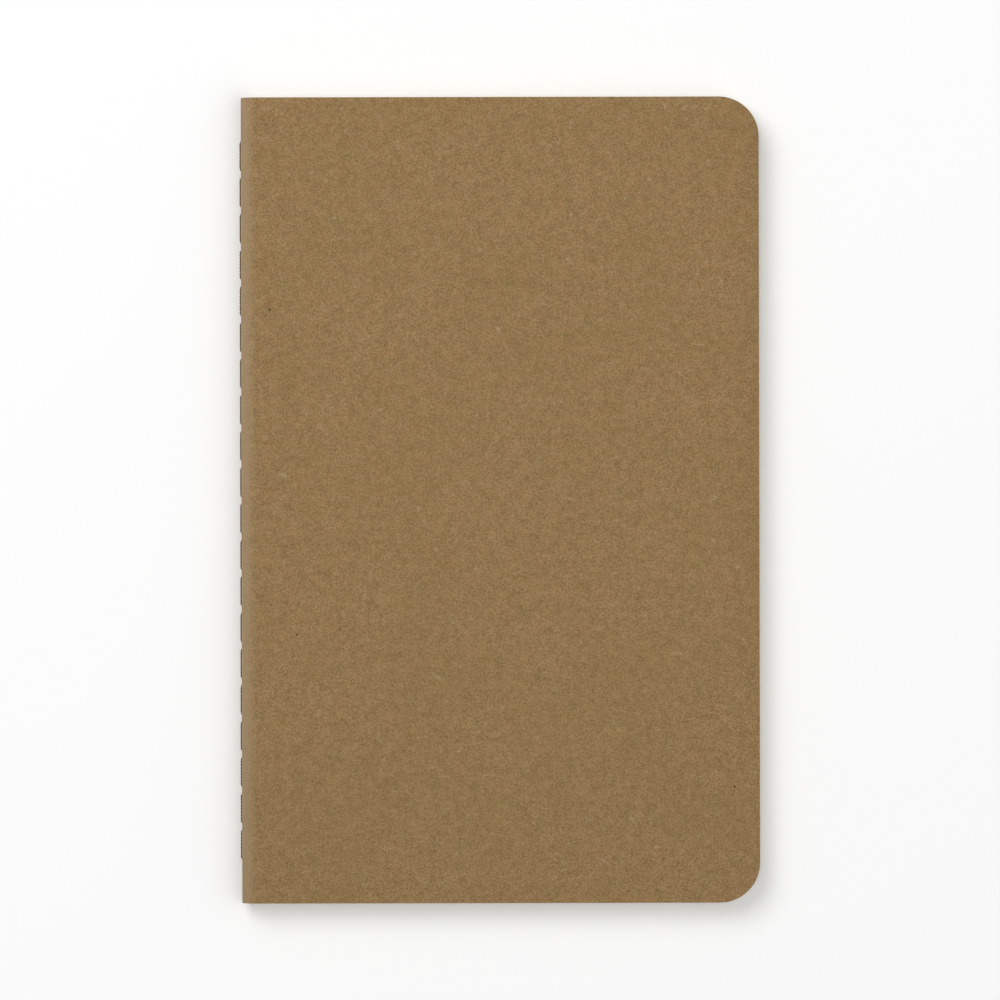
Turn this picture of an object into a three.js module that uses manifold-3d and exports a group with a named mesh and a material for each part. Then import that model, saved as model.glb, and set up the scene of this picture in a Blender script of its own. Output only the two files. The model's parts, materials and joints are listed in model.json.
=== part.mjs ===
// A pocket notebook with a kraft card cover, one section of folded sheets and a machine-sewn spine.
// It lies on its back cover: +Z up, +Y towards the head along the spine, +X towards the fore edge.
// The origin is under the middle of the notebook, on the surface it lies on. Units are millimetres.
import * as THREE from "three";
import { mergeVertices } from "three/addons/utils/BufferGeometryUtils.js";
import Module from "manifold-3d";

const wasm = await Module();
wasm.setup();

// ---- driving dimensions ----
const BOOK_HEIGHT = 140; // head to tail
const BOOK_WIDTH = 90; // outer face of the folded card to the fore edge
const CORNER_RADIUS = 7; // the two corners at the fore edge
const SHEETS = 16; // folded sheets, two leaves each
const PAPER = 0.1; // thickness of a sheet
const SHEET_GAP = 0.02; // air between neighbouring sheets round the fold
const CENTRE_GAP = 0.04; // air between the two middle leaves, away from the fold
const SETTLE_LENGTH = 7; // how far from the fold the leaves close up round the inside thread
const CARD = 0.35; // thickness of the cover card
const FOLD_SLIT = 0.1; // between the front and back leaf of a sheet, where the paper bends
const NEEDLE_THREAD = 0.4; // diameter of the outside thread
const BOBBIN_THREAD = 0.3; // diameter of the inside thread
const SEAM_MARGIN = 7; // from the head, and from the tail, to the nearest needle hole
const STITCH_LENGTH = 6.3; // about, because a whole number of stitches fills the seam
const STITCH_RISE = 0.12; // from a needle hole up to the middle of a stitch, outside
const BOBBIN_RISE = 0.06; // the same inside
const SLOT_CLEARANCE = 0.04; // from the outside thread to each cover, which turns round it
const CREASE_CLEARANCE = 0.09; // from the inside thread to the innermost fold, both sides together

// ---- how finely round things are cut ----
const FOLD_FACETS = 8; // in each quarter turn of a fold
const CORNER_FACETS = 8;
const THREAD_SIDES = 8;
const STEPS_PER_STITCH = 4;
const CUT_MARGIN = 2; // how far a blank runs past the outline that trims it

// ---- worked out from the above ----
const SHEET_STEP = PAPER + SHEET_GAP;
const SPINE_SLOT = NEEDLE_THREAD + STITCH_RISE + 2 * SLOT_CLEARANCE; // between the two covers
const CREASE_RADIUS = BOBBIN_THREAD / 2 + BOBBIN_RISE + CREASE_CLEARANCE; // of the innermost fold
const COVER_INNER = CREASE_RADIUS + SHEETS * SHEET_STEP; // inner face of the card's fold
const FLAT_STEP = (COVER_INNER - CENTRE_GAP / 2) / SHEETS; // from sheet to sheet, away from the fold
const SPINE_RADIUS = COVER_INNER + CARD; // outer face of the card's fold, half the thickness of the notebook
const THREAD_PROUD = (NEEDLE_THREAD + STITCH_RISE) / 2; // the outside thread, past the card
const SPINE_X = (THREAD_PROUD - BOOK_WIDTH) / 2; // outer face of the card, where every leaf turns
const FORE_EDGE_X = SPINE_X + BOOK_WIDTH;
const SEAM_LENGTH = BOOK_HEIGHT - 2 * SEAM_MARGIN;
const STITCHES = Math.round(SEAM_LENGTH / STITCH_LENGTH);
const FOLD_X = SPINE_X + SPINE_RADIUS; // centre of the nested folds
const FOLD_Z = SPINE_RADIUS;

const KRAFT = { color: 0x90744f, roughness: 0.92, metalness: 0 };
const IVORY = { color: 0xf2ead6, roughness: 0.85, metalness: 0 };
const THREAD = { color: 0x7c6142, roughness: 0.8, metalness: 0 };

/** A closed geometry as a solid that can be cut. */
function solidOf(geometry) {
  geometry.deleteAttribute("normal");
  geometry.deleteAttribute("uv");
  const merged = mergeVertices(geometry);
  const vertProperties = merged.attributes.position.array;
  const triVerts = new Uint32Array(merged.index.array);
  return new wasm.Manifold(new wasm.Mesh({ numProp: 3, vertProperties, triVerts }));
}

/** A solid as a geometry with flat-shaded faces. */
function geometryOf(solid) {
  const mesh = solid.getMesh();
  const geometry = new THREE.BufferGeometry();
  geometry.setAttribute("position", new THREE.BufferAttribute(mesh.vertProperties, mesh.numProp));
  geometry.setIndex(new THREE.BufferAttribute(mesh.triVerts, 1));
  const faceted = geometry.toNonIndexed();
  faceted.computeVertexNormals();
  return faceted;
}

/** The notebook's outline seen from above, as a tall prism that trims covers and leaves alike. */
function outlinePrism() {
  const half = BOOK_HEIGHT / 2;
  const left = SPINE_X - CUT_MARGIN;
  const outline = new THREE.Shape();
  outline.moveTo(left, -half);
  outline.lineTo(FORE_EDGE_X - CORNER_RADIUS, -half);
  outline.absarc(FORE_EDGE_X - CORNER_RADIUS, CORNER_RADIUS - half, CORNER_RADIUS, -Math.PI / 2, 0);
  outline.absarc(FORE_EDGE_X - CORNER_RADIUS, half - CORNER_RADIUS, CORNER_RADIUS, 0, Math.PI / 2);
  outline.lineTo(left, half);
  const depth = 2 * (SPINE_RADIUS + CUT_MARGIN);
  const prism = new THREE.ExtrudeGeometry(outline, {
    depth,
    bevelEnabled: false,
    curveSegments: CORNER_FACETS,
  });
  return solidOf(prism.translate(0, 0, -CUT_MARGIN));
}

/** Points of a quarter fold from its top towards the spine, ending where it meets the slit. */
function foldPoints(radius, slit) {
  const points = [];
  for (let i = 0; i <= FOLD_FACETS; i++) {
    const angle = Math.PI / 2 + (i * Math.PI) / (2 * FOLD_FACETS);
    const next = new THREE.Vector2(radius * Math.cos(angle), radius * Math.sin(angle));
    if (next.y <= slit / 2) {
      const last = points.at(-1);
      points.push(last.clone().lerp(next, (last.y - slit / 2) / (last.y - next.y)));
      break;
    }
    points.push(next);
  }
  return points;
}

/** One half of a folded sheet or card: flat out to the fore edge, and a quarter turn at the spine.
 *  flatInner is how high its inner face lies away from the fold, measured from the middle.
 *  side is 1 for the front half, above the fold, and -1 for the back half, below it. */
function foldedHalf(innerRadius, flatInner, thickness, slit, side) {
  const past = FORE_EDGE_X - FOLD_X + CUT_MARGIN;
  const profile = [
    new THREE.Vector2(past, flatInner + thickness),
    new THREE.Vector2(SETTLE_LENGTH, flatInner + thickness),
    ...foldPoints(innerRadius + thickness, slit),
    ...foldPoints(innerRadius, slit).reverse(),
    new THREE.Vector2(SETTLE_LENGTH, flatInner),
    new THREE.Vector2(past, flatInner),
  ];
  profile.forEach((point) => (point.y *= side));
  const depth = BOOK_HEIGHT + 2 * CUT_MARGIN;
  const blank = new THREE.ExtrudeGeometry(new THREE.Shape(profile), { depth, bevelEnabled: false });
  blank.rotateX(Math.PI / 2).translate(FOLD_X, depth / 2, FOLD_Z);
  return geometryOf(solidOf(blank).intersect(outline));
}

/** The line of a running thread: it rises in each stitch and dips at each needle hole. */
class StitchLine extends THREE.Curve {
  /** x is the mean place of the thread, rise how far a stitch stands from a hole, out its side. */
  constructor(x, rise, out) {
    super();
    Object.assign(this, { x, rise, out });
  }

  getPoint(t, target = new THREE.Vector3()) {
    const wave = -Math.cos(2 * Math.PI * STITCHES * t) / 2;
    const y = (t - 1 / 2) * SEAM_LENGTH;
    return target.set(this.x + this.out * this.rise * wave, y, FOLD_Z);
  }
}

/** A sewing thread of round section along the whole seam. */
function thread(diameter, x, rise, out) {
  const section = new THREE.Shape();
  for (let i = 0; i < THREAD_SIDES; i++) {
    const angle = (2 * Math.PI * i) / THREAD_SIDES;
    const point = [(diameter / 2) * Math.cos(angle), (diameter / 2) * Math.sin(angle)];
    if (i === 0) section.moveTo(...point);
    else section.lineTo(...point);
  }
  return new THREE.ExtrudeGeometry(section, {
    steps: STITCHES * STEPS_PER_STITCH,
    extrudePath: new StitchLine(x, rise, out),
    bevelEnabled: false,
  });
}

const outline = outlinePrism();
const notebook = new THREE.Group();

/** Adds one named piece with a material of its own. */
function addPiece(name, geometry, finish) {
  const piece = new THREE.Mesh(geometry, new THREE.MeshStandardMaterial(finish));
  piece.name = name;
  notebook.add(piece);
}

const twoDigits = (number) => String(number).padStart(2, "0");

// The cover: one folded card, in two halves that turn on the outside thread.
addPiece("front_cover", foldedHalf(COVER_INNER, COVER_INNER, CARD, SPINE_SLOT, 1), KRAFT);
addPiece("back_cover", foldedHalf(COVER_INNER, COVER_INNER, CARD, SPINE_SLOT, -1), KRAFT);

// The leaves, numbered from the front. Leaf 1 and the last leaf are the two halves of the outermost sheet.
for (let sheet = 0; sheet < SHEETS; sheet++) {
  const innerRadius = COVER_INNER - (sheet + 1) * SHEET_STEP;
  const flatInner = COVER_INNER - (sheet + 1) * FLAT_STEP;
  const front = foldedHalf(innerRadius, flatInner, PAPER, FOLD_SLIT, 1);
  const back = foldedHalf(innerRadius, flatInner, PAPER, FOLD_SLIT, -1);
  addPiece("leaf_" + twoDigits(sheet + 1), front, IVORY);
  addPiece("leaf_" + twoDigits(2 * SHEETS - sheet), back, IVORY);
}

// The lock stitch: a thread in the slot of the spine, and one inside the innermost fold.
addPiece("needle_thread", thread(NEEDLE_THREAD, SPINE_X, STITCH_RISE, -1), THREAD);
const bobbinX = FOLD_X - (BOBBIN_RISE + CREASE_CLEARANCE) / 2;
addPiece("bobbin_thread", thread(BOBBIN_THREAD, bobbinX, BOBBIN_RISE, 1), THREAD);

export default notebook;
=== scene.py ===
"""A pocket notebook with a kraft card cover, folded ruled sheets and a sewn spine.

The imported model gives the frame: where the spine, the fore edge and every leaf are, and which body each
of them turns with. This script gives the notebook its looks. All sizes are in metres.
"""

import json
import logging
import math
from dataclasses import dataclass, field, replace
from enum import Enum

import bmesh
import bpy
from mathutils import Matrix, Vector


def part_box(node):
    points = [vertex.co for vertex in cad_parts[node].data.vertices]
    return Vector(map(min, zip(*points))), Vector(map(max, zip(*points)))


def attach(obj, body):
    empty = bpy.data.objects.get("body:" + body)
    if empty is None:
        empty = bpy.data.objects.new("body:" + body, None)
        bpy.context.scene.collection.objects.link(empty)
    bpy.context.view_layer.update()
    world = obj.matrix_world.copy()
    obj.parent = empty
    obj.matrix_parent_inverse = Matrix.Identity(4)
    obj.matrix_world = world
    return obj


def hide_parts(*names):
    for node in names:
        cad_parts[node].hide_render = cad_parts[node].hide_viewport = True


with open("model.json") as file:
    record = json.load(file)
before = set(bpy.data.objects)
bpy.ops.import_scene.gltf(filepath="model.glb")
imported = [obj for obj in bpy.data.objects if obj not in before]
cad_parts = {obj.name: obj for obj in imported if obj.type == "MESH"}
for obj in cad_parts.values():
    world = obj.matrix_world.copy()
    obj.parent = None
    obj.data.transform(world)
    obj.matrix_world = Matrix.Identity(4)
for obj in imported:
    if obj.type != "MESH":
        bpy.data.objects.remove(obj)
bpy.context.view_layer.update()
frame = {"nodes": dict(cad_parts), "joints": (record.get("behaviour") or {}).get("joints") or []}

log = logging.getLogger("pocket_notebook")

MM = 0.001
PAPER = 0.1 * MM
CARD = 0.35 * MM
FOLD_SLIT = 0.1 * MM  # between the two halves of a fold
CENTRE_GAP = 0.04 * MM  # between the two middle leaves, away from the fold
SETTLE_LENGTH = 7 * MM  # how far from the fold the leaves close up round the inside thread
STITCH_LENGTH = 6.3 * MM
SAME_PLACE = 0.0001 * MM  # two points nearer than this along an axis share a place on it
BESIDE = 0.01 * MM  # two points nearer than this lie beside each other
WELD_DISTANCE = 0.002 * MM
Z_AXIS = Vector((0, 0, 1))
Y_AXIS = Vector((0, 1, 0))

Colour = tuple[float, float, float]
Axes = tuple[float, float, float]


class Side(Enum):
    """Which half of a fold a piece is."""

    FRONT = 1
    BACK = -1


class PaperTint(Enum):
    """Shades of one stock of writing paper, so that the cut edges of a block of leaves show."""

    PLAIN = 1.0
    WARM = 0.975
    DEEP = 0.95
    PALE = 1.012


def srgb(red: int, green: int, blue: int) -> Colour:
    """Turns a colour from a swatch book into linear light.

    Args:
        red: Red, from 0 to 255.
        green: Green, from 0 to 255.
        blue: Blue, from 0 to 255.

    Returns:
        The three linear values, from 0 to 1.
    """

    def linear(value: int) -> float:
        """Undoes the display curve of one channel."""
        share = value / 255
        return share / 12.92 if share <= 0.04045 else ((share + 0.055) / 1.055) ** 2.4

    return linear(red), linear(green), linear(blue)


@dataclass(frozen=True)
class Pattern:
    """A noise pattern, and the span of its values that is drawn out to run from 0 to 1."""

    size: float  # of its largest features
    low: float = 0.3
    high: float = 0.7
    detail: float = 2  # how many finer layers it has
    rough: float = 0.5  # how strong those layers are
    shift: float = 0  # moves it, so that two patterns of one size differ
    stretch: Axes = (1, 1, 1)  # how many times finer it is along each axis


@dataclass(frozen=True)
class Hairs:
    """Short curved fibres: the contour lines of one noise, broken up by another."""

    size: float  # how far they lie apart
    width: float  # how far from its contour line a fibre fades out, in the noise's own values
    shift: float
    stretch: Axes = (1, 1, 1)
    level: float = 0.5  # of the contour
    break_size: float = 0.45  # as a share of size
    break_shift: float = 0.7
    break_low: float = 0.52
    break_high: float = 0.6

    @property
    def contour(self) -> Pattern:
        """The noise whose contour lines are the fibres."""
        return Pattern(self.size, detail=1, shift=self.shift, stretch=self.stretch)

    @property
    def breaks(self) -> Pattern:
        """The noise that cuts the lines into short pieces."""
        return Pattern(
            self.size * self.break_size, self.break_low, self.break_high,
            detail=1, shift=self.shift + self.break_shift,
        )


class Shader:
    """A material's node tree with short calls for the nodes that paper and card need."""

    def __init__(self, name: str) -> None:
        """Starts a material that holds one Principled shader.

        Args:
            name: The material's name.
        """
        self.material = bpy.data.materials.new(name)
        self.material.use_nodes = True
        self.tree = self.material.node_tree
        self.surface = self.tree.nodes["Principled BSDF"]
        self.position = self.tree.nodes.new("ShaderNodeTexCoord").outputs["Object"]

    def node(self, kind: str, **settings: object) -> bpy.types.Node:
        """Adds a node.

        Args:
            kind: The node's type, without its ShaderNode prefix.
            **settings: Properties of the node.

        Returns:
            The new node.
        """
        made = self.tree.nodes.new("ShaderNode" + kind)
        for key, value in settings.items():
            setattr(made, key, value)
        return made

    def feed(self, socket: bpy.types.NodeSocket, value: object) -> None:
        """Gives an input either a fixed value or another node's output.

        Args:
            socket: The input.
            value: A number, a colour, or an output socket.
        """
        if isinstance(value, bpy.types.NodeSocket):
            self.tree.links.new(value, socket)
        else:
            socket.default_value = value

    def math(self, operation: str, *values: object) -> bpy.types.NodeSocket:
        """Adds a Math node.

        Args:
            operation: What it works out.
            *values: Its inputs, in order.

        Returns:
            Its output.
        """
        made = self.node("Math", operation=operation)
        for socket, value in zip(made.inputs, values):
            self.feed(socket, value)
        return made.outputs[0]

    def times(self, value: object, share: object) -> bpy.types.NodeSocket:
        """Multiplies two values.

        Args:
            value: A number or an output.
            share: A number or an output.

        Returns:
            Their product.
        """
        return self.math("MULTIPLY", value, share)

    def span(
        self, value: object, low: float, high: float, start: float = 0, end: float = 1,
    ) -> bpy.types.NodeSocket:
        """Maps a value smoothly from one span to another.

        Args:
            value: The output to map.
            low: Where the first span begins.
            high: Where the first span ends.
            start: The result at low.
            end: The result at high.

        Returns:
            The mapped output.
        """
        made = self.node("MapRange", interpolation_type="SMOOTHSTEP")
        for name, given in zip(
            ("Value", "From Min", "From Max", "To Min", "To Max"), (value, low, high, start, end)
        ):
            self.feed(made.inputs[name], given)
        return made.outputs[0]

    def noise(self, pattern: Pattern) -> bpy.types.NodeSocket:
        """Adds a noise pattern fixed to the piece.

        Args:
            pattern: The pattern.

        Returns:
            Its plain values, mostly from 0.3 to 0.7.
        """
        place = self.node("Mapping")
        place.inputs["Location"].default_value = (pattern.shift, pattern.shift, pattern.shift)
        place.inputs["Scale"].default_value = pattern.stretch
        self.feed(place.inputs["Vector"], self.position)
        made = self.node("TexNoise")
        self.feed(made.inputs["Vector"], place.outputs[0])
        made.inputs["Scale"].default_value = 1 / pattern.size
        made.inputs["Detail"].default_value = pattern.detail
        made.inputs["Roughness"].default_value = pattern.rough
        return made.outputs[0]

    def spread(self, pattern: Pattern) -> bpy.types.NodeSocket:
        """Adds a noise pattern that runs from 0 to 1.

        Args:
            pattern: The pattern.

        Returns:
            Its values, drawn out.
        """
        return self.span(self.noise(pattern), pattern.low, pattern.high)

    def mix(self, share: object, first: object, second: object) -> bpy.types.NodeSocket:
        """Mixes two colours.

        Args:
            share: How much of the second, from 0 to 1.
            first: A colour or an output.
            second: A colour or an output.

        Returns:
            The mixed colour.
        """
        made = self.node("Mix", data_type="RGBA")
        colours = [
            value if isinstance(value, bpy.types.NodeSocket) else (*value, 1)
            for value in (first, second)
        ]
        for name, value in zip(("Factor_Float", "A_Color", "B_Color"), (share, *colours)):
            self.feed(next(s for s in made.inputs if s.identifier == name), value)
        return next(s for s in made.outputs if s.identifier == "Result_Color")

    def hairs(self, kind: Hairs) -> bpy.types.NodeSocket:
        """Adds short curved fibres.

        Args:
            kind: Their size and place.

        Returns:
            1 on a fibre and 0 elsewhere.
        """
        contour = self.math("ABSOLUTE", self.math("SUBTRACT", self.noise(kind.contour), kind.level))
        return self.times(self.span(contour, 0, kind.width, 1, 0), self.spread(kind.breaks))

    def bump(self, height: object, depth: float, strength: float) -> None:
        """Gives the surface its relief.

        Args:
            height: The pattern, from 0 to 1.
            depth: How deep the relief is.
            strength: How much of it shows.
        """
        made = self.node("Bump")
        made.inputs["Strength"].default_value = strength
        made.inputs["Distance"].default_value = depth
        self.feed(made.inputs["Height"], height)
        self.feed(self.surface.inputs["Normal"], made.outputs[0])

    def coat(self, colour: object, roughness: float, gloss: float = 0.5) -> None:
        """Gives the surface its colour and how it shines.

        Args:
            colour: A colour with its alpha, or an output.
            roughness: From a mirror's 0 to a dull 1.
            gloss: The strength of its reflections.
        """
        self.feed(self.surface.inputs["Base Color"], colour)
        self.surface.inputs["Roughness"].default_value = roughness
        self.surface.inputs["Specular IOR Level"].default_value = gloss


@dataclass(frozen=True)
class KraftCard:
    """Uncoated brown kraft card: mottled, with light and dark fibres, painted lighter over the curve of the
    fold and with a painted highlight beside each stitch.
    """

    base: Colour = srgb(141, 111, 71)
    dark: Colour = srgb(110, 85, 50)
    pale: Colour = srgb(172, 142, 101)
    # pale fibres, and the painted light over the curve of the fold
    pale_fibre_and_fold_light: Colour = srgb(168, 148, 121)
    # painted highlight on the card beside the stitches
    stitch_highlight_colour: Colour = srgb(196, 174, 140)
    olive: Colour = srgb(132, 110, 64)
    russet: Colour = srgb(150, 108, 70)
    speck: Colour = srgb(42, 30, 18)
    roughness: float = 0.88
    gloss: float = 0.25
    grain: Pattern = Pattern(0.29 * MM, 0.365, 0.635, rough=0.8)
    mottle: Pattern = Pattern(1.5 * MM, 0.28, 0.72, shift=0.11)
    tinge: Pattern = Pattern(2.8 * MM, 0.36, 0.64, shift=0.37)
    cloud: Pattern = Pattern(14 * MM, 0.35, 0.65, shift=0.23)
    grain_share: float = 0.76  # of the tone
    mottle_share: float = 0.24
    base_share: float = 0.25
    tinge_share: float = 0.2
    cloud_share: float = 0.16
    light_hairs: Hairs = Hairs(2.2 * MM, 0.018, 0.31, (0.75, 1.2, 1))
    dark_hairs: Hairs = Hairs(1.7 * MM, 0.014, 0.47)
    light_hair_share: float = 0.5
    dark_hair_share: float = 0.4
    fold_light_start: float = 0.4 * MM  # how far in from the spine the painted light over the curve of the fold begins to fade
    fold_light_band: float = 2.9 * MM  # how far in it reaches
    fold_light_share: float = 0.45
    highlight_width: float = 0.32 * MM  # the painted highlight, the palest line, right beside each stitch
    highlight_share: float = 0.55
    highlight_wave: tuple[float, float] = (0.08, 0.7)  # of the stitches' wave, from no painted highlight to all of it
    highlight_mottle: tuple[float, float] = (0.1, 0.9)  # of the mottle, from the least painted highlight to all of it
    highlight_least: float = 0.7
    speck_spread: float = 68 * MM  # how far apart the specks are
    speck_radius: float = 0.21 * MM
    speck_core: float = 0.7  # how much of the radius is at its darkest
    speck_share: float = 0.85
    relief_depth: float = 0.02 * MM
    relief_strength: float = 0.55
    hair_height: float = 0.5

    def make(self, spine_x: float, seam_end: float) -> bpy.types.Material:
        """Builds the material.

        Args:
            spine_x: Where the outer face of the fold is.
            seam_end: How far the stitches reach from the middle of the fold.

        Returns:
            The material.
        """
        shader = Shader("kraft_card")
        mottle = shader.spread(self.mottle)
        tone = shader.math(
            "ADD", shader.times(shader.spread(self.grain), self.grain_share),
            shader.times(mottle, self.mottle_share),
        )
        hairs = shader.hairs(self.light_hairs)
        colour = self.stock(shader, tone, hairs)

        axes = shader.node("SeparateXYZ")
        shader.feed(axes.inputs[0], shader.position)
        along, across = axes.outputs["Y"], axes.outputs["X"]
        # painted light: the card lighter over the curve of the fold, where light falls on it
        painted_fold_light = shader.span(across, spine_x + self.fold_light_start, spine_x + self.fold_light_band, self.fold_light_share, 0)
        colour = shader.mix(painted_fold_light, colour, self.pale_fibre_and_fold_light)
        wave = shader.math("ABSOLUTE", shader.math("SINE", shader.times(along, math.pi / STITCH_LENGTH)))
        # painted highlight on the card beside each stitch
        stitch_highlight = shader.times(
            shader.span(wave, *self.highlight_wave), shader.span(mottle, *self.highlight_mottle, self.highlight_least, 1),
        )
        stitch_highlight = shader.times(stitch_highlight, shader.math("LESS_THAN", shader.math("ABSOLUTE", along), seam_end))
        stitch_highlight = shader.times(stitch_highlight, shader.span(across, spine_x, spine_x + self.highlight_width, self.highlight_share, 0))
        colour = shader.mix(stitch_highlight, colour, self.stitch_highlight_colour)
        colour = shader.mix(self.specks(shader), colour, self.speck)

        shader.coat(colour, self.roughness, self.gloss)
        relief = shader.math("ADD", tone, shader.times(hairs, self.hair_height))
        shader.bump(relief, self.relief_depth, self.relief_strength)
        return shader.material

    def stock(
        self, shader: Shader, tone: bpy.types.NodeSocket, hairs: bpy.types.NodeSocket,
    ) -> bpy.types.NodeSocket:
        """Colours the card as it comes from the mill, before the painted light at the fold and beside the
        stitches.

        Args:
            shader: The card's node tree.
            tone: From the dark to the pale grain.
            hairs: The light fibres.

        Returns:
            The colour.
        """
        colour = shader.mix(tone, self.dark, self.pale)
        colour = shader.mix(self.base_share, colour, self.base)
        tinged = shader.mix(shader.spread(self.tinge), self.olive, self.russet)
        colour = shader.mix(self.tinge_share, colour, tinged)
        colour = shader.mix(shader.times(shader.spread(self.cloud), self.cloud_share), colour, self.olive)
        colour = shader.mix(shader.times(hairs, self.light_hair_share), colour, self.pale_fibre_and_fold_light)
        dark_hairs = shader.times(shader.hairs(self.dark_hairs), self.dark_hair_share)
        return shader.mix(dark_hairs, colour, self.dark)

    def specks(self, shader: Shader) -> bpy.types.NodeSocket:
        """Scatters a few small dark specks.

        Args:
            shader: The card's node tree.

        Returns:
            How much of the speck's colour shows.
        """
        cells = shader.node("TexVoronoi", feature="F1", voronoi_dimensions="2D")
        shader.feed(cells.inputs["Vector"], shader.position)
        cells.inputs["Scale"].default_value = 1 / self.speck_spread
        radius = self.speck_radius / self.speck_spread
        speck = shader.span(cells.outputs["Distance"], radius * self.speck_core, radius, 1, 0)
        return shader.times(speck, self.speck_share)


@dataclass(frozen=True)
class WritingPaper:
    """Ivory writing paper with faint ruled lines on both faces of a leaf."""

    base: Colour = srgb(240, 233, 214)
    fibre: Colour = srgb(226, 216, 192)
    ink: Colour = srgb(150, 153, 156)
    roughness: float = 0.8
    gloss: float = 0.3
    formation: Pattern = Pattern(1.8 * MM, detail=3, rough=0.55)
    formation_share: float = 0.22
    tooth: Pattern = Pattern(0.35 * MM, detail=3, rough=0.6)
    tooth_depth: float = 0.008 * MM
    tooth_strength: float = 0.4
    line_pitch: float = 6.5 * MM
    line_width: float = 0.22 * MM
    line_core: float = 0.6  # how much of its half width is full of ink
    line_rim: float = 1.3  # where the ink ends, the same way
    ink_share: float = 0.7
    head_margin: float = 13 * MM
    tail_margin: float = 7 * MM
    edge_margin: float = 0.2 * MM  # so that the cut edges of the leaves stay clear of ink

    def make(self, tint: PaperTint, spine: "Spine") -> bpy.types.Material:
        """Builds the material.

        Args:
            tint: The shade of this leaf.
            spine: Where the fold and the edges of the leaves are.

        Returns:
            The material.
        """
        shader = Shader("ivory_paper_" + tint.name.lower())
        base = tuple(min(1.0, channel * tint.value) for channel in self.base)
        formation = shader.spread(replace(self.formation, shift=tint.value))
        colour = shader.mix(shader.times(formation, self.formation_share), base, self.fibre)

        axes = shader.node("SeparateXYZ")
        shader.feed(axes.inputs[0], shader.position)
        first_line = spine.head - self.head_margin
        below = shader.math("SUBTRACT", first_line + self.line_pitch / 2, axes.outputs["Y"])
        between = shader.math("FRACT", shader.math("DIVIDE", below, self.line_pitch))
        phase = shader.math("ABSOLUTE", shader.math("SUBTRACT", between, 0.5))
        half_width = self.line_width / self.line_pitch / 2
        line = shader.span(phase, half_width * self.line_core, half_width * self.line_rim, 1, 0)
        under_head = shader.math("GREATER_THAN", below, 0)
        over_tail = shader.math("GREATER_THAN", axes.outputs["Y"], spine.tail + self.tail_margin)
        past_fold = shader.math("GREATER_THAN", axes.outputs["X"], spine.fold_x)
        inside_edge = shader.math("LESS_THAN", axes.outputs["X"], spine.fore_edge - self.edge_margin)
        for limit in (under_head, over_tail, past_fold, inside_edge, self.ink_share):
            line = shader.times(line, limit)
        colour = shader.mix(line, colour, self.ink)

        shader.coat(colour, self.roughness, self.gloss)
        shader.bump(shader.noise(self.tooth), self.tooth_depth, self.tooth_strength)
        return shader.material


@dataclass(frozen=True)
class SewingThread:
    """Twisted brown cotton thread with a slight sheen."""

    base: Colour = srgb(108, 86, 52)
    deep: Colour = srgb(72, 56, 32)
    roughness: float = 0.72
    sheen: float = 0.25
    sheen_roughness: float = 0.5
    strand: Pattern = Pattern(0.12 * MM, rough=0.6, shift=0.2, stretch=(1, 0.35, 1))
    strand_share: float = 0.6
    run: Pattern = Pattern(5 * MM, 0.35, 0.65, shift=0.6)
    run_share: float = 0.25
    relief_depth: float = 0.015 * MM
    relief_strength: float = 0.6

    def make(self) -> bpy.types.Material:
        """Builds the material.

        Returns:
            The material.
        """
        shader = Shader("sewing_thread")
        strand = shader.spread(self.strand)
        colour = shader.mix(shader.times(strand, self.strand_share), self.base, self.deep)
        colour = shader.mix(shader.times(shader.spread(self.run), self.run_share), colour, self.deep)
        shader.coat(colour, self.roughness)
        shader.surface.inputs["Sheen Weight"].default_value = self.sheen
        shader.surface.inputs["Sheen Roughness"].default_value = self.sheen_roughness
        shader.bump(strand, self.relief_depth, self.relief_strength)
        return shader.material


@dataclass(frozen=True)
class StudioFloor:
    """Plain pale paper sweep under the notebook."""

    tone: float = 0.96
    roughness: float = 0.9
    gloss: float = 0.1

    def make(self) -> bpy.types.Material:
        """Builds the material.

        Returns:
            The material.
        """
        shader = Shader("studio_floor")
        grey = (self.tone, self.tone, self.tone, 1)
        shader.coat(grey, self.roughness, self.gloss)
        return shader.material


def finished_object(name: str, bm: bmesh.types.BMesh) -> bpy.types.Object:
    """Turns a bmesh into an object at the origin.

    Args:
        name: The object's name.
        bm: The mesh, which is freed.

    Returns:
        The object, linked to the scene.
    """
    mesh = bpy.data.meshes.new(name)
    bm.to_mesh(mesh)
    bm.free()
    piece = bpy.data.objects.new(name, mesh)
    bpy.context.scene.collection.objects.link(piece)
    return piece


def bevel(
    bm: bmesh.types.BMesh, edges: list[bmesh.types.BMEdge], offset: float, segments: int, clamp: bool = True,
) -> None:
    """Rounds edges.

    Args:
        bm: The mesh.
        edges: Its edges to round.
        offset: How far the round reaches.
        segments: How many faces it has across.
        clamp: Whether rounds that would meet are kept apart.
    """
    bmesh.ops.bevel(
        bm, geom=edges, affect="EDGES", offset=offset, segments=segments,
        profile=0.5, material=-1, clamp_overlap=clamp,
    )


def vertices(geometry: list[object]) -> list[bmesh.types.BMVert]:
    """The vertices among what an operator made."""
    return [part for part in geometry if isinstance(part, bmesh.types.BMVert)]


@dataclass
class Spine:
    """Where the notebook folds and how far its leaves reach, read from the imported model."""

    x: float
    z: float
    fore_edge: float
    head: float
    tail: float

    @classmethod
    def from_frame(cls) -> "Spine":
        """Reads the turning axis from a joint and the outline from the front cover.

        Returns:
            The spine.
        """
        x, _, z = frame["joints"][0]["pos_m"]
        low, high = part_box("front_cover")
        return cls(x=x, z=z, fore_edge=high.x, head=high.y, tail=low.y)

    @property
    def fold_x(self) -> float:
        """The centre of the nested folds, a spine radius in from the outer face."""
        return self.x + self.z


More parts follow.
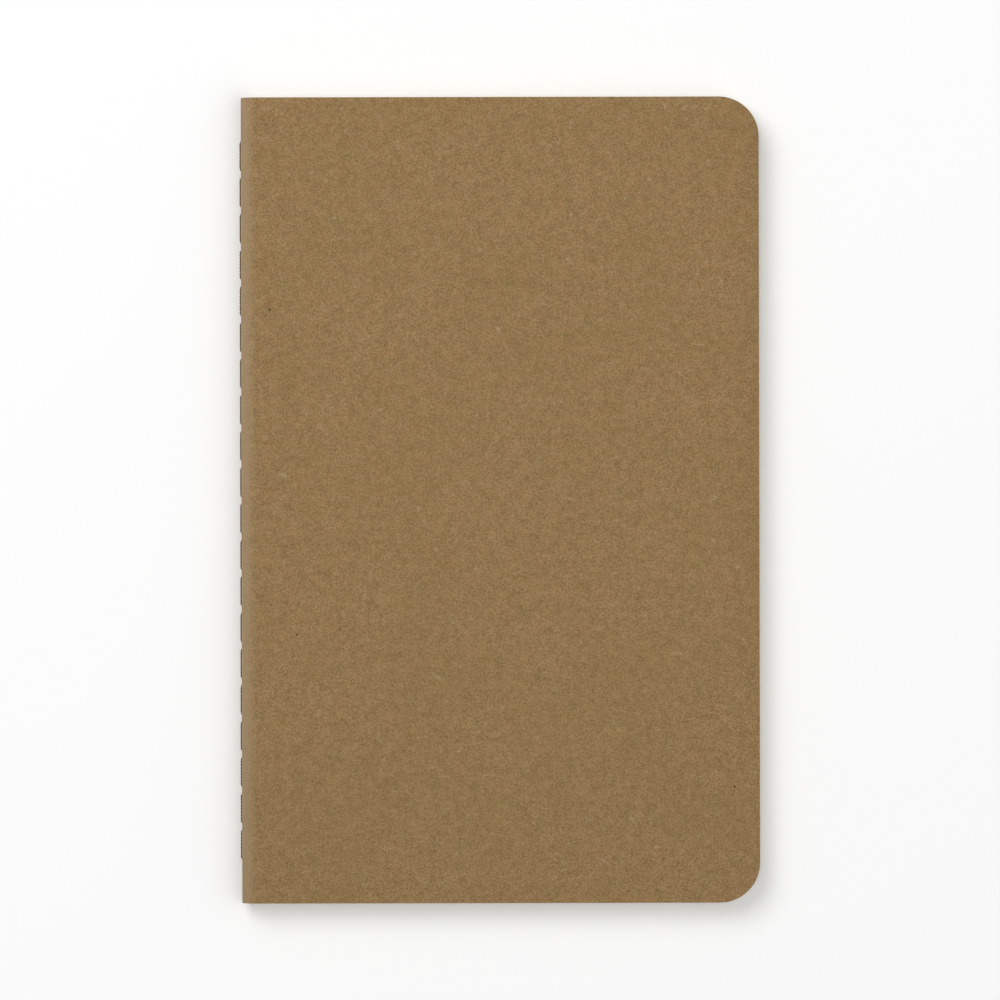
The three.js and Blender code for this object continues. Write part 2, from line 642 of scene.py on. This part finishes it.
@dataclass
class FoldedHalf:
    """One half of a folded sheet or card: flat to the fore edge, and a quarter turn at the spine."""

    node: str
    body: str
    side: Side
    spine: Spine
    thickness: float
    slot: str
    slit: float = FOLD_SLIT
    corner_radius: float = 7 * MM
    corner_segments: int = 20
    fold_segments: int = 16
    rim_radius: float = 0  # of the outer edges, where they are softened
    rim_segments: int = 2
    rim_angle: float = math.radians(50)  # a sharper edge than this is part of the rim
    seam_radius: float = 0  # of the long outer edge beside the stitches
    seam_segments: int = 5
    crisp_angle: float = math.radians(35)  # a sharper edge than this isn't shaded smooth
    inset: float = 0  # how far the fore edge lies back from the cover's
    flat_inner: float = 0  # how high the inner face lies away from the fold, measured from the middle
    settle_steps: int = 8
    tongue: bool = False  # whether the leaf runs on in the slit, past the ends of the sheets outside it
    tongue_gap: float = 0.005 * MM  # from the tongue to the middle of the slit
    tongue_end: float = 0.29 * MM  # how near the tongue comes to the turning axis
    piece: bpy.types.Object = field(init=False)

    @property
    def outer_radius(self) -> float:
        """The outer face's radius at the fold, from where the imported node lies."""
        low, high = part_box(self.node)
        return high.z - self.spine.z if self.side is Side.FRONT else self.spine.z - low.z

    def build(self) -> bpy.types.Object:
        """Builds the half as one closed mesh.

        Returns:
            The object.
        """
        bm = bmesh.new()
        spine = self.spine
        outer = self.outer_radius
        inner = outer - self.thickness
        centre = Vector((spine.fold_x, spine.tail, spine.z))
        top = bm.verts.new(centre + outer * Z_AXIS)
        bottom = bm.verts.new(centre + inner * Z_AXIS)
        edge = bm.edges.new((top, bottom))

        turn = math.pi / 2 - math.asin(self.slit / 2 / outer)
        bmesh.ops.spin(
            bm, geom=[top, bottom, edge], cent=centre, axis=Y_AXIS, dvec=Vector((0, 0, 0)),
            angle=-turn, steps=self.fold_segments, use_duplicate=False,
        )
        if self.tongue:
            self.add_tongue(bm)
        self.add_leaf(bm, edge, inner)

        walls = bmesh.ops.extrude_face_region(bm, geom=list(bm.faces))
        bmesh.ops.translate(bm, verts=vertices(walls["geom"]), vec=(0, spine.head - spine.tail, 0))
        self.round_corners(bm)
        self.soften(bm, outer)
        if self.side is Side.BACK:
            mirror = Matrix.Translation((0, 0, 2 * spine.z)) @ Matrix.Scale(-1, 4, Z_AXIS)
            bmesh.ops.transform(bm, matrix=mirror, verts=bm.verts)
        bmesh.ops.remove_doubles(bm, verts=bm.verts, dist=WELD_DISTANCE)
        bmesh.ops.recalc_face_normals(bm, faces=bm.faces)
        self.piece = finished_object(self.node + "_piece", bm)
        self.shade()
        return self.piece

    def drawn_out(
        self, bm: bmesh.types.BMesh, edge: bmesh.types.BMEdge, vec: Vector,
    ) -> bmesh.types.BMEdge:
        """Extrudes one edge of the section.

        Args:
            bm: The section.
            edge: The edge to draw out.
            vec: How far it moves.

        Returns:
            The edge at the far side of the new face.
        """
        made = bmesh.ops.extrude_edge_only(bm, edges=[edge])["geom"]
        bmesh.ops.translate(bm, verts=vertices(made), vec=vec)
        return next(e for e in made if isinstance(e, bmesh.types.BMEdge))

    def add_leaf(self, bm: bmesh.types.BMesh, edge: bmesh.types.BMEdge, inner: float) -> None:
        """Draws the section from the top of the fold to the fore edge, settling on the way.

        Args:
            bm: The section.
            edge: Its edge at the top of the fold.
            inner: The inner radius of the fold.
        """
        drop = (self.flat_inner or inner) - inner
        steps = self.settle_steps if drop else 0
        eased = [(1 - math.cos(math.pi * i / max(steps, 1))) / 2 for i in range(steps + 1)]
        for before, after in zip(eased, eased[1:]):
            edge = self.drawn_out(bm, edge, Vector((SETTLE_LENGTH / steps, 0, drop * (after - before))))
        settled = SETTLE_LENGTH if steps else 0
        reach = self.spine.fore_edge - self.inset - self.spine.fold_x - settled
        self.drawn_out(bm, edge, Vector((reach, 0, 0)))

    def add_tongue(self, bm: bmesh.types.BMesh) -> None:
        """Runs the innermost sheet on, in the slit between the halves, to beside the outside thread.

        Args:
            bm: The section.
        """
        near = self.thickness / 4
        lowest = min(v.co.z for v in bm.verts)
        seam = next(e for e in bm.edges if all(v.co.z < lowest + near for v in e.verts))
        depth = self.slit / 2 - self.tongue_gap
        down = self.drawn_out(bm, seam, Vector((0, 0, -depth)))
        corner = min(down.verts, key=lambda v: v.co.x)
        side = next(e for e in corner.link_edges if abs(e.verts[0].co.x - e.verts[1].co.x) < near)
        away = self.spine.x + self.tongue_end - corner.co.x
        end = self.drawn_out(bm, side, Vector((away, 0, 0)))
        top = max(end.verts, key=lambda v: v.co.z)
        top.co.z -= self.tongue_gap

    def round_corners(self, bm: bmesh.types.BMesh) -> None:
        """Rounds the head and tail corners of the fore edge.

        Args:
            bm: The half as an extruded strip.
        """
        end = max(v.co.x for v in bm.verts)
        corners = [
            e for e in bm.edges
            if all(abs(v.co.x - end) < SAME_PLACE for v in e.verts)
            and abs(e.verts[0].co.y - e.verts[1].co.y) < SAME_PLACE
        ]
        bevel(bm, corners, self.corner_radius, self.corner_segments, clamp=False)

    def soften(self, bm: bmesh.types.BMesh, outer: float) -> None:
        """Softens the outer rim and the seam edge, where the half has such radii.

        Args:
            bm: The half with its corners rounded.
            outer: The outer radius of the fold.
        """
        if not self.rim_radius:
            return
        bm.normal_update()
        rim = [
            e for e in bm.edges
            if len(e.link_faces) == 2 and e.calc_face_angle(0) > self.rim_angle
        ]
        seam = [e for e in rim if self.on_outer_seam(e, outer)]
        rim = [e for e in rim if e not in seam]
        bevel(bm, seam, self.seam_radius, self.seam_segments)
        bevel(bm, [e for e in rim if e.is_valid], self.rim_radius, self.rim_segments)

    def on_outer_seam(self, edge: bmesh.types.BMEdge, outer: float) -> bool:
        """Whether an edge is the long outer one beside the stitches.

        Args:
            edge: The edge.
            outer: The outer radius of the fold.

        Returns:
            True if it is.
        """
        length = abs(edge.verts[0].co.y - edge.verts[1].co.y)
        near = all(abs(v.co.x - (self.spine.fold_x - outer)) < BESIDE for v in edge.verts)
        return near and length > self.corner_radius

    def shade(self) -> None:
        """Smooths the fold and the corners and keeps the cut edges crisp."""
        mesh = self.piece.data
        mesh.shade_smooth()
        mesh.set_sharp_from_angle(angle=self.crisp_angle)

    def dress(self, material: bpy.types.Material) -> None:
        """Gives the half its finish and lets it turn with its body.

        Args:
            material: The finish.
        """
        self.piece.data.materials.append(material)
        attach(self.piece, self.body)
        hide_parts(self.node)
        log.info("%s turns with %s", self.piece.name, self.body)


@dataclass
class Cover:
    """The kraft card cover: two halves that meet under the stitches."""

    spine: Spine
    finish: KraftCard = field(default_factory=KraftCard)
    rim_radius: float = 0.08 * MM
    seam_radius: float = 0.13 * MM
    fold_segments: int = 24

    def build(self) -> list[FoldedHalf]:
        """Builds both halves.

        Returns:
            The front and the back half.
        """
        halves = []
        for node, side in (("front_cover", Side.FRONT), ("back_cover", Side.BACK)):
            half = FoldedHalf(
                node=node, body=node, side=side, spine=self.spine, thickness=CARD, slot="kraft_card",
                rim_radius=self.rim_radius, seam_radius=self.seam_radius, fold_segments=self.fold_segments,
            )
            half.build()
            halves.append(half)
        return halves

    def dress(self, halves: list[FoldedHalf]) -> None:
        """Gives both halves the card finish.

        Args:
            halves: The front and the back half.
        """
        card = self.finish.make(self.spine.x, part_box("needle_thread")[1].y)
        for half in halves:
            half.dress(card)


@dataclass
class PageBlock:
    """The folded sheets, as leaves numbered from the front."""

    spine: Spine
    finish: WritingPaper = field(default_factory=WritingPaper)
    trim_steps: tuple[float, ...] = (0, 0.05 * MM, 0.02 * MM, 0.08 * MM, 0.03 * MM)  # uneven cut edges

    @property
    def count(self) -> int:
        """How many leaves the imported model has."""
        return sum(name.startswith("leaf_") for name in frame["nodes"])

    def build(self) -> list[FoldedHalf]:
        """Builds every leaf.

        Returns:
            The leaves, from the front.
        """
        leaves = []
        sheets = self.count // 2
        card_inner = self.spine.z - CARD
        flat_step = (card_inner - CENTRE_GAP / 2) / sheets
        for number in range(1, self.count + 1):
            side = Side.FRONT if number <= sheets else Side.BACK
            depth = number if side is Side.FRONT else self.count + 1 - number
            name = f"leaf_{number:02d}"
            leaf = FoldedHalf(
                node=name, body=name, side=side, spine=self.spine, thickness=PAPER, slot="ivory_paper",
                inset=self.trim_steps[number % len(self.trim_steps)], tongue=depth == sheets,
                flat_inner=card_inner - depth * flat_step,
            )
            leaf.build()
            leaves.append(leaf)
        return leaves

    def dress(self, leaves: list[FoldedHalf]) -> None:
        """Gives the leaves their paper, in shades that take turns.

        Args:
            leaves: The leaves, from the front.
        """
        papers = [self.finish.make(tint, self.spine) for tint in PaperTint]
        for number, leaf in enumerate(leaves):
            leaf.dress(papers[number % len(papers)])


@dataclass
class StitchRun:
    """One of the two sewing threads: plies twisted along a line that dips at every needle hole."""

    node: str
    body: str
    spine: Spine
    top: float  # middle of the thread at the top of a stitch, along X
    hole: float  # the same at a needle hole
    thread_radius: float = 0.2 * MM
    hole_share: float = 0.55  # of the thread's thickness, where it is drawn into a hole
    hole_wave: float = 0.17  # of the stitch's wave: below this the thread is down in the hole
    full_wave: float = 0.5  # above this it lies at its full height
    plies: int = 2
    ply_resolution: int = 2  # how round a ply's section is
    twist_pitch: float = 1.1 * MM
    points_per_twist: int = 12
    piece: bpy.types.Object = field(init=False)

    def build(self) -> bpy.types.Object:
        """Builds the twisted thread as one mesh.

        Returns:
            The object.
        """
        low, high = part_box(self.node)
        length = high.y - low.y
        steps = round(length / self.twist_pitch * self.points_per_twist)
        curve = bpy.data.curves.new(self.node + "_plies", "CURVE")
        curve.dimensions = "3D"
        curve.bevel_depth = self.thread_radius / 2
        curve.bevel_resolution = self.ply_resolution
        curve.use_fill_caps = True
        for ply in range(self.plies):
            spline = curve.splines.new("POLY")
            spline.points.add(steps)
            for i, point in enumerate(spline.points):
                phase = 2 * math.pi * ply / self.plies
                self.place(point, low.y + length * i / steps, length, low.y, phase)
        return self.as_mesh(curve)

    def place(
        self, point: bpy.types.SplinePoint, y: float, length: float, start: float, phase: float,
    ) -> None:
        """Puts one point of a ply where it belongs.

        Args:
            point: The point.
            y: Its place along the seam.
            length: The seam's length.
            start: Where the seam begins.
            phase: The ply's own angle round the thread.
        """
        stitches = round(length / STITCH_LENGTH)
        wave = abs(math.sin(math.pi * stitches * (y - start) / length))
        share = min(1.0, max(0.0, (wave - self.hole_wave) / (self.full_wave - self.hole_wave)))
        rise = share * share * (3 - 2 * share)
        size = self.hole_share + (1 - self.hole_share) * rise
        angle = 2 * math.pi * (y - start) / self.twist_pitch + phase
        offset = self.thread_radius / 2 * size
        x = self.hole + (self.top - self.hole) * rise + offset * math.cos(angle)
        point.co = (x, y, self.spine.z + offset * math.sin(angle), 1)
        point.radius = size

    def as_mesh(self, curve: bpy.types.Curve) -> bpy.types.Object:
        """Turns the plies into one smooth mesh object.

        Args:
            curve: The plies.

        Returns:
            The object.
        """
        holder = bpy.data.objects.new(curve.name, curve)
        bpy.context.scene.collection.objects.link(holder)
        bpy.context.view_layer.update()
        mesh = bpy.data.meshes.new_from_object(holder.evaluated_get(bpy.context.evaluated_depsgraph_get()))
        bpy.data.objects.remove(holder)
        mesh.name = self.node + "_piece"
        mesh.materials.clear()
        mesh.shade_smooth()
        self.piece = bpy.data.objects.new(self.node + "_piece", mesh)
        bpy.context.scene.collection.objects.link(self.piece)
        return self.piece

    def dress(self, material: bpy.types.Material) -> None:
        """Gives the thread its finish and its body.

        Args:
            material: The finish.
        """
        self.piece.data.materials.append(material)
        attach(self.piece, self.body)
        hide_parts(self.node)
        log.info("%s turns with %s", self.piece.name, self.body)


@dataclass
class Sewing:
    """The seam: one thread outside the fold and one inside it."""

    spine: Spine
    inner_leaf: str  # the leaf that the inside thread turns with
    finish: SewingThread = field(default_factory=SewingThread)
    outer_top: float = -0.06 * MM  # how far the outside thread's middle lies in from the spine's face
    outer_hole: float = 0.12 * MM
    inner_radius: float = 0.15 * MM
    inner_top: float = 0.02 * MM  # how far the inside thread's middle lies in from that of its packed place
    inner_hole: float = -0.03 * MM

    def build(self) -> list[StitchRun]:
        """Builds both threads.

        Returns:
            The outside and the inside thread.
        """
        inner_low, inner_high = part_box("bobbin_thread")
        inner_x = (inner_low.x + inner_high.x) / 2
        runs = [
            StitchRun(
                "needle_thread", "back_cover", self.spine,
                top=self.spine.x + self.outer_top, hole=self.spine.x + self.outer_hole,
            ),
            StitchRun(
                "bobbin_thread", self.inner_leaf, self.spine, thread_radius=self.inner_radius,
                top=inner_x + self.inner_top, hole=inner_x + self.inner_hole,
            ),
        ]
        for run in runs:
            run.build()
        return runs

    def dress(self, runs: list[StitchRun]) -> None:
        """Gives both threads their finish.

        Args:
            runs: The threads.
        """
        thread = self.finish.make()
        for run in runs:
            run.dress(thread)


@dataclass(frozen=True)
class SoftLight:
    """A square soft light that faces the notebook."""

    name: str
    place: Axes
    size: float  # the length of its side
    power: float  # in watts

    def add(self) -> None:
        """Hangs the light in the studio."""
        light = bpy.data.lights.new(self.name, "AREA")
        light.size = self.size
        light.energy = self.power
        holder = bpy.data.objects.new(self.name, light)
        holder.location = self.place
        holder.rotation_euler = (-Vector(self.place)).to_track_quat("-Z", "Y").to_euler()
        bpy.context.scene.collection.objects.link(holder)


@dataclass
class Studio:
    """A pale floor, soft light from above and the camera over the cover."""

    frame_width: float = 174.2 * MM  # what the camera sees at the height of the floor
    sensor: float = 36.0
    distance: float = 1.6
    aim_x: float = 0.09 * MM
    roll: float = math.radians(-0.12)
    lights: tuple[SoftLight, ...] = (
        SoftLight("key_light", (-0.55, 0.65, 1.1), 0.9, 9.8),
        SoftLight("fill_light", (0.9, -0.4, 1.3), 1.4, 5.1),
    )
    world_strength: float = 0.53
    floor_size: float = 8.0
    floor_drop: float = 0.02 * MM

    def build(self) -> None:
        """Adds the camera, the lights, the world and the floor."""
        self.add_camera()
        for light in self.lights:
            light.add()
        self.add_world()
        self.add_floor()

    def add_camera(self) -> None:
        """Puts a long lens straight above the middle of the cover."""
        camera = bpy.data.cameras.new("camera")
        camera.sensor_width = self.sensor
        camera.lens = self.sensor * self.distance / self.frame_width
        holder = bpy.data.objects.new("camera", camera)
        holder.location = (self.aim_x, 0, self.distance)
        holder.rotation_euler = (0, 0, self.roll)
        bpy.context.scene.collection.objects.link(holder)
        bpy.context.scene.camera = holder

    def add_world(self) -> None:
        """Lights the room evenly and leaves colours as they are."""
        world = bpy.data.worlds.new("studio")
        world.use_nodes = True
        background = world.node_tree.nodes["Background"]
        background.inputs["Color"].default_value = (1, 1, 1, 1)
        background.inputs["Strength"].default_value = self.world_strength
        bpy.context.scene.world = world
        bpy.context.scene.view_settings.view_transform = "Standard"

    def add_floor(self) -> None:
        """Adds the floor just under the notebook."""
        bm = bmesh.new()
        bmesh.ops.create_grid(bm, x_segments=1, y_segments=1, size=self.floor_size / 2)
        bmesh.ops.translate(bm, verts=bm.verts, vec=(0, 0, -self.floor_drop))
        floor = finished_object("studio_floor", bm)
        floor.data.materials.append(StudioFloor().make())


def main() -> None:
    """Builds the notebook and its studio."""
    logging.basicConfig(level=logging.INFO, format="%(name)s: %(message)s")
    Studio().build()
    spine = Spine.from_frame()
    cover = Cover(spine)
    cover.dress(cover.build())
    block = PageBlock(spine)
    block.dress(block.build())

    sewing = Sewing(spine, f"leaf_{block.count // 2 + 1:02d}")
    sewing.dress(sewing.build())


if __name__ == "__main__":
    main()
